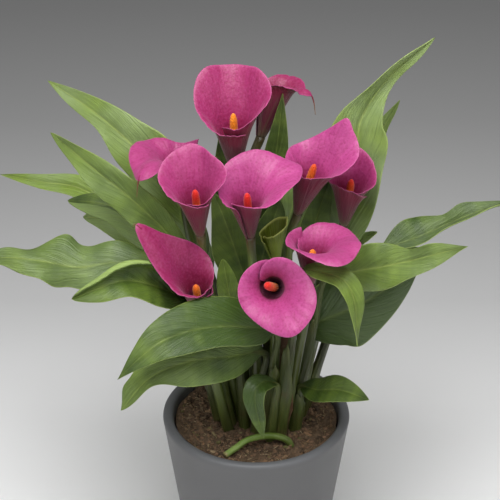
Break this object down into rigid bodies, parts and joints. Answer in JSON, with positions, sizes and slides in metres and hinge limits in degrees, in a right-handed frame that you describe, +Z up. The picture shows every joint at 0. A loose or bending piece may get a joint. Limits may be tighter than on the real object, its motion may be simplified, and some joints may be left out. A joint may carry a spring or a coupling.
{
  "type": "potted calla lily",
  "caption": "Potted calla lily: rolled pink funnel blooms on long green stalks above lance-shaped leaves, in a round tapered grey pot of soil.",
  "frame": {"origin": "middle of the pot's flat underside", "axes": "+Z up the plant, -Y towards the front that the picture shows, +X to its right"},
  "size_m": [0.519, 0.329, 0.537],
  "materials": {
    "pot": "matte",
    "soil": "rough",
    "stalk": "satin",
    "spathe": "satin",
    "spadix": "matte",
    "young_bloom": "satin",
    "leaf": "satin"
  },
  "bodies": {
    "root": {"pot": "pot", "soil": "soil", "old_stalk": "stalk", "flower_stalk_01": "stalk", "spathe_01": "spathe", "spadix_01": "spadix", "flower_stalk_02": "stalk", "spathe_02": "spathe", "spadix_02": "spadix", "flower_stalk_03": "stalk", "spathe_03": "spathe", "spadix_03": "spadix", "flower_stalk_04": "stalk", "spathe_04": "spathe", "spadix_04": "spadix", "flower_stalk_05": "stalk", "spathe_05": "spathe", "spadix_05": "spadix", "flower_stalk_06": "stalk", "spathe_06": "spathe", "spadix_06": "spadix", "flower_stalk_07": "stalk", "spathe_07": "spathe", "spadix_07": "spadix", "flower_stalk_08": "stalk", "spathe_08": "spathe", "spadix_08": "spadix", "flower_stalk_09": "stalk", "spathe_09": "spathe", "spadix_09": "spadix", "flower_stalk_10": "stalk", "spathe_10": "spathe", "spadix_10": "spadix", "young_bloom": "young_bloom", "leaf_left_high": "leaf", "leaf_left_middle": "leaf", "leaf_left_long": "leaf", "leaf_left_dark": "leaf", "leaves_left_back": "leaf", "leaf_left_low": "leaf", "leaf_left_curled": "leaf", "leaf_front_big": "leaf", "leaf_front_left": "leaf", "leaf_front_small": "leaf", "leaf_front_right": "leaf", "leaf_right_low": "leaf", "leaf_right_front": "leaf", "leaf_front_hanging": "leaf", "leaf_right_long": "leaf", "leaf_right_dark": "leaf", "leaf_right_high": "leaf", "leaves_right_back": "leaf", "leaf_top": "leaf", "leaf_top_left": "leaf", "leaf_right_rolled": "leaf", "leaf_middle_right": "leaf", "leaf_middle_left": "leaf", "leaf_front_upright": "leaf", "leaf_middle": "leaf", "leaves_back": "leaf"}
  },
  "joints": []
}
